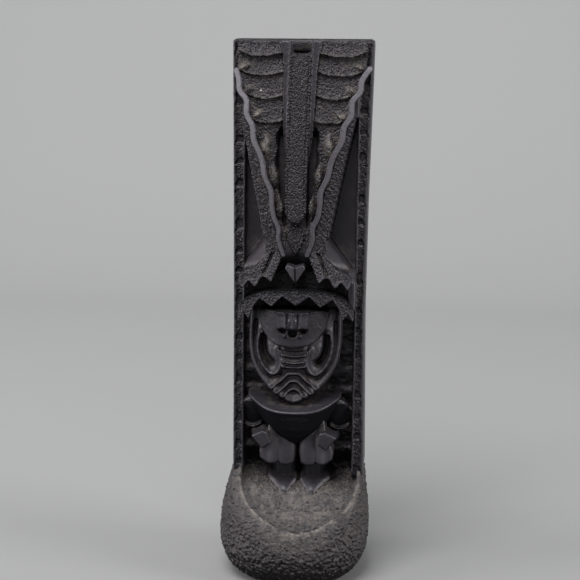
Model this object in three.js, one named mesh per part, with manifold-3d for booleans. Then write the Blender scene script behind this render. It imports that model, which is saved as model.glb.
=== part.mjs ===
// A tiki figure, about 243 mm tall: a square post with a tall headdress, a face and a small standing body carved
// into its front, on a rough boulder base.
// Millimetres, +Z up, the figure faces -Y. It is drawn round its post, and at the end it is moved so that the origin
// is under the middle of the base.
// The real figure is poured in one piece. Each carved mass is its own solid here, a hair apart from the next.
import * as THREE from "three";
import { mergeVertices } from "three/addons/utils/BufferGeometryUtils.js";
import Module from "manifold-3d";

const wasm = await Module();
wasm.setup();

// Driving dimensions.
const GAP = 0.3;
const POST = { half: 30, back: 18, bottom: 50, top: 242.8, topSlope: 0.01, corner: 4 };
const STILE = { width: 5, front: -12, corner: 2 };
const NICHE = { wall: 2, half: POST.half - STILE.width };
// The headdress leans forward: its ground plane is at front(z) and its carving stands off that plane.
const HEADDRESS = { bottom: 126.3, frontAtTop: -12, leanForward: 0.09, leanAside: 0.023, plumbAt: 229, asideAtPlumb: 0.5 };
const RIBBON_HALF = 1.5;
// The ledge in the boulder's front falls away from the niche wall, as [y, z] down its middle.
const LEDGE = [[3, 48], [-4, 46.5], [-11, 44], [-17, 40.6], [-22, 35.2], [-26, 29], [-29, 23.6], [-40, 4]];
const BOULDER = { half: 34, aside: -1.5, front: -34, back: 24, widest: 20, frontPower: 2.5, backPower: 4, sides: 56 };
// The boulder's outline is this share of its widest at each height below the widest.
const BOULDER_FOOT = [[0.66, 0], [0.78, 4], [0.88, 8], [0.96, 14]];

// Half outlines, as [distance from the centre line, height].
const RIBBON = [
  [28.2, 229.5], [26.9, 226.5], [26.0, 219.5], [23.4, 216.5], [22.6, 208.5], [19.4, 204.0], [18.3, 196.5],
  [15.2, 191.5], [14.6, 184.0], [12.0, 179.0], [11.4, 171.5], [9.2, 167.0], [8.8, 160.0], [6.6, 155.5],
  [5.8, 150.0], [9.0, 141.0],
];
// The outer band stands on the hourglass ground, from its widest to its waist.
const BAND_OUTER = [[24.0, 207], [14.1, 156.5]];
const TIER_LIPS = [236.0, 227.5, 218.0, 207.5, 196.0, 184.0, 172.0];
const TIER_SAG = 2.2;
const FLUTE = { inner: 4.9, outerAtTop: 7.8, outerAtFoot: 5.6, top: 236, foot: 172 };

const black = (name, roughness) => new THREE.MeshStandardMaterial({ name, color: 0x1c1c1f, roughness, metalness: 0 });
const SMOOTH = black("smooth_casting", 0.35);
const STIPPLED = black("stippled_casting", 0.6);
const ROUGH = new THREE.MeshStandardMaterial({ name: "rough_casting", color: 0x3a3634, roughness: 0.9, metalness: 0 });

const figure = new THREE.Group();

// Plain helpers.
const topZ = (x) => POST.top + POST.topSlope * x;
const mirrored = (points, side) => points.map(([x, z]) => [side * x, z]);
const between = (table, z) => {
  const i = table.findIndex((_, k) => k + 1 < table.length && (z - table[k][1]) * (z - table[k + 1][1]) <= 0);
  const [[x0, z0], [x1, z1]] = [table[i], table[i + 1]];
  return x0 + ((x1 - x0) * (z - z0)) / (z1 - z0);
};
const ribbonX = (z) => between(RIBBON, z);
const fluteOuter = (z) => {
  const share = THREE.MathUtils.clamp((FLUTE.top - z) / (FLUTE.top - FLUTE.foot), 0, 1);
  return THREE.MathUtils.lerp(FLUTE.outerAtTop, FLUTE.outerAtFoot, share);
};

const outline = (points) => new THREE.Shape(points.map(([a, b]) => new THREE.Vector2(a, b)));

// An outline in (x, z) with its thickness from the face at back to the face at front, which is the smaller y.
function frontPlate(points, back, front) {
  const plate = new THREE.ExtrudeGeometry(outline(points), { depth: back - front, bevelEnabled: false, curveSegments: 4 });
  return plate.rotateX(Math.PI / 2).translate(0, back, 0);
}

// An outline in (x, y) raised from low to high.
function planPlate(points, low, high) {
  const plate = new THREE.ExtrudeGeometry(outline(points), { depth: high - low, bevelEnabled: false });
  return plate.translate(0, 0, low);
}

// An outline in (y, z) across the whole width.
function sidePlate(points, halfWidth) {
  const plate = new THREE.ExtrudeGeometry(outline(points), { depth: 2 * halfWidth, bevelEnabled: false });
  const turn = new THREE.Matrix4().makeBasis(
    new THREE.Vector3(0, 1, 0), new THREE.Vector3(0, 0, 1), new THREE.Vector3(1, 0, 0),
  );
  return plate.translate(0, 0, -halfWidth).applyMatrix4(turn);
}

// Carving on the headdress: a plate standing from low to high off the leaning ground plane.
function onHeaddress(points, low, high) {
  const { frontAtTop, leanForward, leanAside, plumbAt, asideAtPlumb } = HEADDRESS;
  const shear = new THREE.Matrix4().set(
    1, 0, leanAside, asideAtPlumb - leanAside * plumbAt,
    0, 1, leanForward, frontAtTop - leanForward * POST.top,
    0, 0, 1, 0,
    0, 0, 0, 1,
  );
  return frontPlate(points, -low, -high).applyMatrix4(shear);
}

function solid(geometry) {
  const bare = geometry.index ? geometry.toNonIndexed() : geometry.clone();
  bare.deleteAttribute("normal");
  bare.deleteAttribute("uv");
  const merged = mergeVertices(bare, 1e-4);
  return new wasm.Manifold(
    new wasm.Mesh({
      numProp: 3,
      vertProperties: new Float32Array(merged.attributes.position.array),
      triVerts: new Uint32Array(merged.index.array),
    }),
  );
}

function geometryOf(made) {
  const { vertProperties, triVerts } = made.getMesh();
  const geometry = new THREE.BufferGeometry();
  geometry.setAttribute("position", new THREE.BufferAttribute(vertProperties, 3));
  geometry.setIndex(new THREE.BufferAttribute(triVerts, 1));
  return geometry;
}

function add(name, geometry, material) {
  const mesh = new THREE.Mesh(geometry, material);
  mesh.name = name;
  figure.add(mesh);
}

const SIDES = [["left", -1], ["right", 1]];

// A quarter turn round a corner's centre, in plan, from the angle given.
function roundedCorner(cx, cy, radius, from) {
  return Array.from({ length: 5 }, (_, i) => {
    const a = from + (i * Math.PI) / 8;
    return [cx + radius * Math.cos(a), cy + radius * Math.sin(a)];
  });
}

// Cuts the sloping top of the post off a plate that stands too tall.
function trimmedTop(geometry) {
  const span = POST.half + 5;
  const above = frontPlate([[-span, topZ(-span)], [span, topZ(span)], [span, 270], [-span, 270]], 60, -60);
  return geometryOf(solid(geometry).subtract(solid(above)));
}

function backSlab() {
  const { half, back, corner } = POST;
  const plan = [
    [-half, NICHE.wall],
    [half, NICHE.wall],
    ...roundedCorner(half - corner, back - corner, corner, 0),
    ...roundedCorner(corner - half, back - corner, corner, Math.PI / 2),
  ];
  add("back_slab", trimmedTop(planPlate(plan, POST.bottom, POST.top + 4)), STIPPLED);
}

function stile(name, side) {
  const { half } = POST;
  const r = STILE.corner;
  const plan = [
    [half, NICHE.wall],
    [half - STILE.width, NICHE.wall],
    [half - STILE.width, STILE.front],
    ...roundedCorner(half - r, STILE.front + r, r, -Math.PI / 2),
  ];
  add(`${name}_stile`, trimmedTop(planPlate(mirrored(plan, side), POST.bottom, POST.top + 4)), STIPPLED);
}

// The solid ground of the headdress: an hourglass that leaves the two long triangular recesses open.
function headdressCore() {
  const edge = NICHE.half - GAP;
  const half = [[edge, 250], [edge, 209], [14.3, 156], [edge, 143], [edge, HEADDRESS.bottom]];
  const points = [...half, ...mirrored(half, -1).reverse()];
  const { frontAtTop, leanForward, bottom } = HEADDRESS;
  const front = (z) => frontAtTop + leanForward * (z - POST.top);
  const side = [[NICHE.wall, 250], [front(250), 250], [front(bottom), bottom], [NICHE.wall, bottom]];
  const core = solid(frontPlate(points, NICHE.wall, -40)).intersect(solid(sidePlate(side, POST.half)));
  add("headdress_core", trimmedTop(geometryOf(core)), STIPPLED);
}

function centreBand() {
  const half = [[4.6, 235.8], [4.4, 168], [1.2, 154]];
  add("centre_band", onHeaddress([...half, ...mirrored(half, -1).reverse()], GAP, 3.6), STIPPLED);
}

function flute(name, side) {
  const points = [
    [FLUTE.inner, FLUTE.top], [FLUTE.outerAtTop, FLUTE.top],
    [FLUTE.outerAtFoot, FLUTE.foot], [FLUTE.inner, FLUTE.foot],
  ];
  add(`${name}_flute`, onHeaddress(mirrored(points, side), GAP, 3.2), SMOOTH);
}

// A tier's sagging lip at a height, from the flute out to the ribbon.
function tierLip(z, lift) {
  const inner = fluteOuter(z) + GAP;
  const outer = ribbonX(THREE.MathUtils.clamp(z, 156, 229)) - RIBBON_HALF - GAP;
  return Array.from({ length: 7 }, (_, i) => {
    const share = i / 6;
    return [THREE.MathUtils.lerp(inner, outer, share), z + lift - TIER_SAG * Math.sin(Math.PI * share)];
  });
}

function featherTier(name, side, index) {
  const [high, low] = [TIER_LIPS[index], TIER_LIPS[index + 1]];
  const edge = RIBBON.filter(([, z]) => z < high - 1 && z > low + 1).map(([x, z]) => [x - RIBBON_HALF - GAP, z]);
  const points = [...tierLip(high, -GAP), ...edge, ...tierLip(low, 0).reverse()];
  add(`${name}_feather_${index + 1}`, onHeaddress(mirrored(points, side), GAP, 2.2), STIPPLED);
}

function crownFeather(name, side) {
  const lip = tierLip(TIER_LIPS[0], 0);
  const points = [[lip[0][0], 238.4], [lip[6][0], 238.4], ...lip.reverse()];
  add(`${name}_crown_feather`, onHeaddress(mirrored(points, side), GAP, 2.6), STIPPLED);
}

function ribbon(name, side) {
  const points = [
    ...RIBBON.map(([x, z]) => [x + RIBBON_HALF, z]),
    ...RIBBON.map(([x, z]) => [x - RIBBON_HALF, z]).reverse(),
  ];
  add(`${name}_ribbon`, onHeaddress(mirrored(points, side), GAP, 4.2), SMOOTH);
}

function outerBand(name, side) {
  const besideRibbon = (z) => [ribbonX(z) + RIBBON_HALF + GAP, z];
  const [[, high], [, low]] = BAND_OUTER;
  const corners = RIBBON.map(([, z]) => z).filter((z) => z < high - 1 && z > low + 1);
  const inner = [high, ...corners, low].map(besideRibbon);
  add(`${name}_outer_band`, onHeaddress(mirrored([...BAND_OUTER, ...inner.reverse()], side), GAP, 3), STIPPLED);
}

function brow(name, side) {
  const inner = [ribbonX(156) + RIBBON_HALF + GAP, 5.8 + RIBBON_HALF + GAP, 9.0 + RIBBON_HALF + GAP];
  const points = [
    [14.1, 156], [23.1, 145], [22.9, 137.6], [20.4, 139.6], [17.2, 137.6], [14.2, 141],
    [inner[2] + 0.6, 140], [inner[2], 141], [inner[1], 150], [inner[0], 156],
  ];
  add(`${name}_brow`, onHeaddress(mirrored(points, side), GAP, 5), STIPPLED);
}

function browBeak() {
  const points = [[0, 139], [3.8, 146], [2.4, 148.4], [-2.4, 148.4], [-3.8, 146]];
  add("brow_beak", onHeaddress(points, GAP, 3.8), SMOOTH);
}

function lowerBrowBand() {
  const half = [
    [5, 135.8], [16, 134.2], [21, 130.6], [23.6, 128.6], [22.6, 127.2], [20.6, 126.6],
    [15.8, 131.6], [10.4, 129.4], [5.8, 132.8],
  ];
  const points = [[0, 130.2], ...mirrored(half, -1).reverse(), ...half];
  add("zigzag_band", onHeaddress(points, GAP, 6), STIPPLED);
}

function faceCore() {
  const half = [[12, 126], [19.2, 126], [20.4, 118], [20, 106], [17.4, 97], [12.6, 90.4], [5, 86.2]];
  const points = [...half, ...mirrored(half, -1).reverse()];
  const skull = solid(frontPlate(points, NICHE.wall, -20));
  add("head", geometryOf(skull.subtract(torsoBowl(GAP))), SMOOTH);
}

function nose() {
  const half = [[8, 126], [15.4, 125.4], [15.2, 119], [13, 114.6], [9, 111.4], [3.4, 109.8]];
  const points = [...half, ...mirrored(half, -1).reverse()];
  add("nose", frontPlate(points, -20 - GAP, -28.5), SMOOTH);
}

// The outer lip: a horseshoe round the mouth, open under the nose.
function outerLip() {
  const outside = [[19.4, 122], [20.3, 114], [19.6, 105], [17, 98], [12.4, 91.6], [6, 87.6]];
  const inside = [[17.6, 121], [18.2, 114], [17.4, 106], [15, 99.6], [11, 94.2], [5.2, 90.4]];
  const points = [
    ...outside, [0, 86.2], ...mirrored(outside, -1).reverse(),
    ...mirrored(inside, -1), [0, 89.2], ...[...inside].reverse(),
  ];
  add("outer_lip", frontPlate(points, -20 - GAP, -23.4), SMOOTH);
}

function innerLip(name, side) {
  const points = [
    [15.9, 114], [16, 108], [14.6, 102], [11.2, 97.8], [7.6, 97.6], [5.4, 100.6], [4.4, 106],
    [6.2, 106.4], [7.2, 101.8], [9.2, 100], [11.6, 101], [13.2, 105.4], [13.6, 112],
  ];
  add(`${name}_inner_lip`, frontPlate(mirrored(points, side), -20 - GAP, -24), SMOOTH);
}

function lipBridge() {
  add("lip_bridge", frontPlate([[-4, 106.6], [4, 106.6], [4.8, 99.6], [-4.8, 99.6]], -20 - GAP, -25), SMOOTH);
}

function chin() {
  const points = [[0, 99], [4.8, 97], [8.8, 94.2], [4.6, 91.2], [0, 90], [-4.6, 91.2], [-8.8, 94.2], [-4.8, 97]];
  add("chin", frontPlate(points, -20 - GAP, -24.4), SMOOTH);
}

// The torso is a bowl with a flat chest on top. Its larger copy clears the limbs round it.
function torsoBowl(grow) {
  const bowl = new THREE.SphereGeometry(1, 28, 16).scale(20.6 + grow, 25 + grow, 21 + grow).translate(0, -2, 86);
  const keep = sidePlate([[NICHE.wall, 60], [-40, 60], [-40, 77.6 + grow], [NICHE.wall, 89 + grow]], 40);
  return solid(bowl).intersect(solid(keep));
}

function torso() {
  add("torso", geometryOf(torsoBowl(0)), SMOOTH);
}

function upperArm(name, side) {
  const edge = NICHE.half - GAP;
  const points = [[18, 84.4], [21.5, 85.6], [24, 83], [edge, 72], [23.4, 70.3], [16.8, 70.3], [15.4, 77]];
  const arm = solid(frontPlate(mirrored(points, side), NICHE.wall, -13));
  add(`${name}_upper_arm`, geometryOf(arm.subtract(torsoBowl(GAP))), SMOOTH);
}

function forearm(name, side) {
  const plan = [
    [24.2, -4], [24.2, -12], [20.4, -20], [14.6, -24], [12.6, -23.6], [12.6, -21.6], [16.6, -20.2], [17.4, -4],
  ];
  const arm = solid(planPlate(mirrored(plan, side), 62.4, 70));
  add(`${name}_forearm`, geometryOf(arm.subtract(torsoBowl(GAP))), SMOOTH);
}

function thigh(name, side) {
  const lobes = [[12.2, 3.8], [5.2, 4.4]];
  const front = [];
  for (const [cx, r] of lobes) {
    for (let i = 0; i <= 6; i++) {
      const a = (i * Math.PI) / 6;
      front.push([cx + r * Math.cos(a), -16.5 - r * Math.sin(a)]);
    }
  }
  const plan = [[16, -3], ...front, [0.8, -3]];
  const leg = solid(planPlate(mirrored(plan, side), 55.5, 74));
  add(`${name}_thigh`, geometryOf(leg.subtract(torsoBowl(GAP))), SMOOTH);
}

function shin(name, side) {
  const plan = [[11.6, 2], [12.2, -6], [9, -10], [4, -10], [1.4, -6], [1.4, 2]];
  add(`${name}_shin`, planPlate(mirrored(plan, side), 51.1, 55.2), SMOOTH);
}

// A foot is a block with a level top that stands on the falling ledge, with its toes pointing forward.
function foot(name, side) {
  const plan = solid(planPlate(mirrored([[15.2, 0], [13.8, -10], [5.6, -17], [0.5, -11], [0.5, 0]], side), 30, 60));
  const sole = LEDGE.slice(0, 5).map(([y, z]) => [y, z + GAP]);
  const profile = solid(sidePlate([...sole, [-24, 50.4], [3, 50.8]], 40));
  add(`${name}_foot`, geometryOf(plan.intersect(profile)), SMOOTH);
}

// Boulder base: rings from the foot to the shoulder, whose height falls towards the front, then the scoop is cut.
const SHOULDER = [
  [POST.bottom, 40], [POST.bottom, -12], [46.5, -14.5], [42, -18], [36.2, -24], [31.2, -28.5], [27.2, -31.5], [20, -36],
];
const shoulderZ = (y) => between(SHOULDER, y);

function boulderRing(scale, z, shoulderShare) {
  const { half, aside, front, back, frontPower, backPower, sides } = BOULDER;
  return Array.from({ length: sides }, (_, i) => {
    const a = (2 * Math.PI * i) / sides;
    const [c, s] = [Math.cos(a), Math.sin(a)];
    const [depth, power] = s < 0 ? [-front, frontPower] : [back, backPower];
    const x = aside * scale + Math.sign(c) * half * scale * Math.abs(c) ** (2 / power);
    const y = Math.sign(s) * depth * scale * Math.abs(s) ** (2 / power);
    return [x, y, THREE.MathUtils.lerp(z, shoulderZ(y), shoulderShare)];
  });
}

function boulderBase() {
  const { widest } = BOULDER;
  const rings = [
    ...BOULDER_FOOT.map(([scale, z]) => boulderRing(scale, z, 0)),
    boulderRing(1, widest, 0), boulderRing(0.985, widest, 0.5),
    ...[0.93, 0.8, 0.65, 0.5].map((scale) => boulderRing(scale, widest, 1)),
  ];
  const n = BOULDER.sides;
  const points = rings.flat();
  const foot = points.push([0, 0, 0]) - 1;
  const crown = points.push([0, 0, POST.bottom]) - 1;
  const triangles = [];
  for (let i = 0; i < n; i++) {
    const j = (i + 1) % n;
    triangles.push(foot, j, i, crown, (rings.length - 1) * n + i, (rings.length - 1) * n + j);
    for (let k = 0; k + 1 < rings.length; k++) {
      triangles.push(k * n + i, k * n + j, (k + 1) * n + j, k * n + i, (k + 1) * n + j, (k + 1) * n + i);
    }
  }
  const geometry = new THREE.BufferGeometry();
  geometry.setAttribute("position", new THREE.Float32BufferAttribute(points.flat(), 3));
  geometry.setIndex(triangles);
  const half = [
    [25, NICHE.wall], [25.2, -11], [25.4, -16.4], [22.6, -22.4], [18.5, -25.8], [13.2, -28.6], [7, -30.8], [0, -31.6],
  ];
  const rim = [...half, ...mirrored(half.slice(0, -1), -1).reverse()];
  const above = [...LEDGE, [-40, 80], [LEDGE[0][0], 80]];
  const scoop = solid(planPlate(rim, 0, 80)).intersect(solid(sidePlate(above, 40)));
  add("boulder_base", geometryOf(solid(geometry).subtract(scoop)), ROUGH);
}

boulderBase();
backSlab();
headdressCore();
centreBand();
browBeak();
lowerBrowBand();
faceCore();
nose();
outerLip();
lipBridge();
chin();
torso();
for (const [name, side] of SIDES) {
  stile(name, side);
  flute(name, side);
  crownFeather(name, side);
  for (let i = 0; i + 1 < TIER_LIPS.length; i++) featherTier(name, side, i);
  ribbon(name, side);
  outerBand(name, side);
  brow(name, side);
  innerLip(name, side);
  upperArm(name, side);
  forearm(name, side);
  thigh(name, side);
  shin(name, side);
  foot(name, side);
}

const part = new THREE.Group().add(figure);
figure.position.set(-BOULDER.aside, -(BOULDER.front + BOULDER.back) / 2, 0);
export default part;
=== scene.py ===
"""A tiki figure cast in black lava stone and resin, standing on its base with its carved front towards -Y.

Each carved mass is sampled as a solid field on a grid, in millimetres and negative inside, roughened by
band-limited grain, and turned into a closed mesh in metres. Neighbours sink a little into each other, as
masses of one casting do.
"""
import math

import bpy
import numpy as np
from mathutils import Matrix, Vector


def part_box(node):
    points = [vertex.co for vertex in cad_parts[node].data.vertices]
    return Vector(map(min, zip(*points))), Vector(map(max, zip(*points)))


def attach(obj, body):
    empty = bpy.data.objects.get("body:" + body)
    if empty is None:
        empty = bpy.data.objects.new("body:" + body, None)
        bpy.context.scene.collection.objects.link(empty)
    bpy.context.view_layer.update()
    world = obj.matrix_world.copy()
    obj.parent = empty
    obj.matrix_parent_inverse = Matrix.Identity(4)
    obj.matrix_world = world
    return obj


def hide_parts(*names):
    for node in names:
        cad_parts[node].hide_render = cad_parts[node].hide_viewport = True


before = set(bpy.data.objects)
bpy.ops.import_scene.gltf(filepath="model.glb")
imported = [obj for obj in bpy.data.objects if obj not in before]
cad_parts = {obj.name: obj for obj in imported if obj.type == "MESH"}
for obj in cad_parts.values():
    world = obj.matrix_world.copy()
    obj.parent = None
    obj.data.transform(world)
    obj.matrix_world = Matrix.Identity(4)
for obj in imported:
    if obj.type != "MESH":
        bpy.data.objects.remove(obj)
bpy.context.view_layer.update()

import openvdb
from mathutils import Matrix, Vector

MM = 0.001
COARSER = 1.0


def node_box(name):
    """A CAD node's box as two numpy corners in millimetres."""
    low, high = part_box(name)
    return np.array(low) / MM, np.array(high) / MM


# The figure is drawn round its post: ORIGIN is where the post's middle stands in the shared frame.
POST_LOW, POST_HIGH = node_box("back_slab")
STILE_FRONT = node_box("right_stile")[0][1]
POST_FRONT = -12.0
ORIGIN = np.array([(POST_LOW[0] + POST_HIGH[0]) / 2, STILE_FRONT - POST_FRONT, 0.0])
BASE_LOW, BASE_HIGH = (corner - ORIGIN for corner in node_box("boulder_base"))
POST_BACK = POST_HIGH[1] - ORIGIN[1]
POST_TOP, TOP_SLOPE, TOP_FALL = 242.8, 0.01, 0.06
LEAN = 0.09  # how far the headdress comes forward for each mm down
BASE_TOP = BASE_HIGH[2]
HEADDRESS_FOOT = node_box("headdress_core")[0][2]

# How far the post's two sides and the niche's two edges stand from the middle, by height.
POST_SIDE = {
    -1: [(50, 29.7), (120, 29.8), (240, 30.8)],
    1: [(50, 29.3), (120, 28.2), (170, 28.6), (240, 30.0)],
}
NICHE_EDGE = {-1: 24.8, 1: 23.8}
# The carving's middle wanders a little from the post's, as (height, x).
MIDDLE = [(50, -0.8), (70, -1.6), (85, -1.9), (105, -2.0), (130, -1.5), (150, -1.9), (185, -2.2), (240, -0.9)]
# Half outlines of the headdress, as (distance from the middle, height).
RIBBON = [
    (26.4, 225.5), (25.8, 220.5), (22.7, 216.5), (22.5, 210.5), (19.7, 205.5), (19.0, 199.5),
    (16.2, 194.0), (14.6, 189.5), (13.6, 184.0), (10.8, 178.0), (10.4, 172.0), (9.5, 166.5), (7.4, 162.0),
    (7.4, 156.5), (5.2, 150.5),
]
RIBBON_TOP = {-1: (27.6, 229.0), 1: (29.6, 230.5)}
BAND_EDGE = [(25.4, 209.5), (14.6, 156.0)]
TIER_LIPS = [236.8, 228.6, 218.7, 208.0]
CHAIN = [196.5, 184.0, 171.5]
# The scooped ledge in the boulder's front and the shoulder above it, as (y, z) down the middle.
LEDGE = [
    (7, 49), (-4, 46.5), (-11, 44), (-17, 40.6), (-22, 35.2), (-26, 29), (-29, 23.6), (-32, 18), (-40, 4),
]
SHOULDER = [
    (40, 50), (-12, 50), (-14.5, 46.5), (-18, 42), (-24, 36.2), (-28.5, 31.2), (-31.5, 27.2), (-33.5, 23.5),
    (-35, 19), (-37, 10),
]


# ---------------------------------------------------------------- fields

class Block:
    """Sample points of a box: x, y and z broadcast to its three axes."""

    def __init__(self, low, high, step, seed):
        self.low = np.array(low, float)
        self.step = step * COARSER
        counts = np.ceil((np.array(high) - self.low) / self.step).astype(int) + 1
        axes = [np.float32(a + self.step * np.arange(n)) for a, n in zip(low, counts)]
        self.x, self.y, self.z = axes[0][:, None, None], axes[1][None, :, None], axes[2][None, None, :]
        self.shape = tuple(counts)
        self.random = np.random.default_rng(seed)

    @property
    def u(self):
        """Distance from the carving's middle, over x and z."""
        return self.x - table(MIDDLE, self.z)

    def grain(self, size, stretch=(1, 1, 1)):
        """Bumps about size mm apart, with unit spread; stretch lengthens them along each axis."""
        noise = np.fft.rfftn(self.random.standard_normal(self.shape, dtype=np.float32))
        fx, fy = (np.fft.fftfreq(n, self.step) for n in self.shape[:2])
        fz = np.fft.rfftfreq(self.shape[2], self.step)
        waves = (fx[:, None, None], fy[None, :, None], fz[None, None, :])
        k = np.sqrt(sum((f * longer) ** 2 for f, longer in zip(waves, stretch))) * size
        noise = np.fft.irfftn(noise * np.exp(-(((k - 1) / 0.65) ** 2)), self.shape)
        return np.float32(noise / noise.std())


def table(points, value):
    """Straight-line interpolation through (key, result) points, in any order of keys."""
    keys, results = zip(*sorted(points))
    return np.interp(value, keys, results).astype(np.float32)


def ease(value, low, high):
    share = np.clip((value - low) / (high - low), 0, 1)
    return share * share * (3 - 2 * share)


def both(a, b, radius=0.0):
    """The intersection of two solids, with its edge rounded."""
    blend = np.maximum(radius - np.abs(a - b), 0)
    return np.maximum(a, b) + (blend * blend / (4 * radius) if radius else 0)


def either(a, b, radius=0.0):
    """The union of two solids, with a fillet."""
    return -both(-a, -b, radius)


def without(a, b, radius=0.0):
    return both(a, -b, radius)


def track(points, x, z):
    """Distance in mm to an open line."""
    distance = np.full(np.broadcast(x, z).shape, 1e9, np.float32)
    for (x0, z0), (x1, z1) in zip(points, points[1:]):
        ex, ez = x1 - x0, z1 - z0
        share = np.clip(((x - x0) * ex + (z - z0) * ez) / (ex * ex + ez * ez), 0, 1)
        distance = np.minimum(distance, np.hypot(x - x0 - share * ex, z - z0 - share * ez))
    return distance


def outline(points, x, z):
    """Distance in mm to a closed outline, negative inside."""
    loop = [*points, points[0]]
    distance = track(loop, x, z)
    inside = np.zeros(distance.shape, bool)
    for (x0, z0), (x1, z1) in zip(loop, loop[1:]):
        if z0 != z1:
            inside ^= ((z0 > z) != (z1 > z)) & (x < x0 + (x1 - x0) * (z - z0) / (z1 - z0))
    return np.where(inside, -distance, distance)


def curve(points, steps=4):
    """A Catmull-Rom curve through the points."""
    p = [points[0], *points, points[-1]]
    made = []
    for a, b, c, d in zip(p, p[1:], p[2:], p[3:]):
        for i in range(steps):
            t = i / steps
            weights = (-t + 2 * t**2 - t**3, 2 - 5 * t**2 + 3 * t**3, t + 4 * t**2 - 3 * t**3, t**3 - t**2)
            made.append(tuple(sum(w * q[k] for w, q in zip(weights, (a, b, c, d))) / 2 for k in (0, 1)))
    return [*made, points[-1]]


def mirror(half):
    """A closed outline from its right half, listed from the top down."""
    return [*half, *[(-x, z) for x, z in reversed(half)]]


def relief(block, edge, front, back, radius=0.6):
    """A plate with the given outline distance, from its carved front to its back; both are y over x and z."""
    front = np.broadcast_to(front, (block.shape[0], 1, block.shape[2]))
    slopes = np.gradient(front[:, 0, :], block.step)
    lean = 1 / np.sqrt(1 + np.minimum(slopes[0] ** 2 + slopes[1] ** 2, 6))[:, None, :]
    return both(both((front - block.y) * lean, edge, radius), block.y - back, 0.2)


def bar(block, start, end, size, radius=0.8):
    """A rounded block from start to end, size wide and size tall across its length."""
    start, end = np.array(start, float), np.array(end, float)
    length = np.linalg.norm(end - start)
    along = (end - start) / length
    across = np.cross(along, (0, 0, 1))
    across /= np.linalg.norm(across)
    up = np.cross(across, along)
    p = [axis - middle for axis, middle in zip((block.x, block.y, block.z), (start + end) / 2)]
    sides = [abs(sum(v * q for v, q in zip(axis, p))) for axis in (along, across, up)]
    return both(both(sides[0] - length / 2, sides[1] - size[0] / 2, radius), sides[2] - size[1] / 2, radius)


# ---------------------------------------------------------------- materials

PALE_GRAIN = (0.17, 0.155, 0.155)
WORN_EDGE = (0.10, 0.095, 0.105)
PAINTED_HIGHLIGHT = (0.115, 0.108, 0.125)
PAINTED_UNDERSIDE_SHADE = (0.004, 0.004, 0.005)
PAINTED_SHADE = (0.004, 0.004, 0.0045)
DUST = (0.17, 0.145, 0.115)
TAN_DUST = (0.23, 0.2, 0.17)
CHIP = (0.42, 0.41, 0.38)


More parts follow.
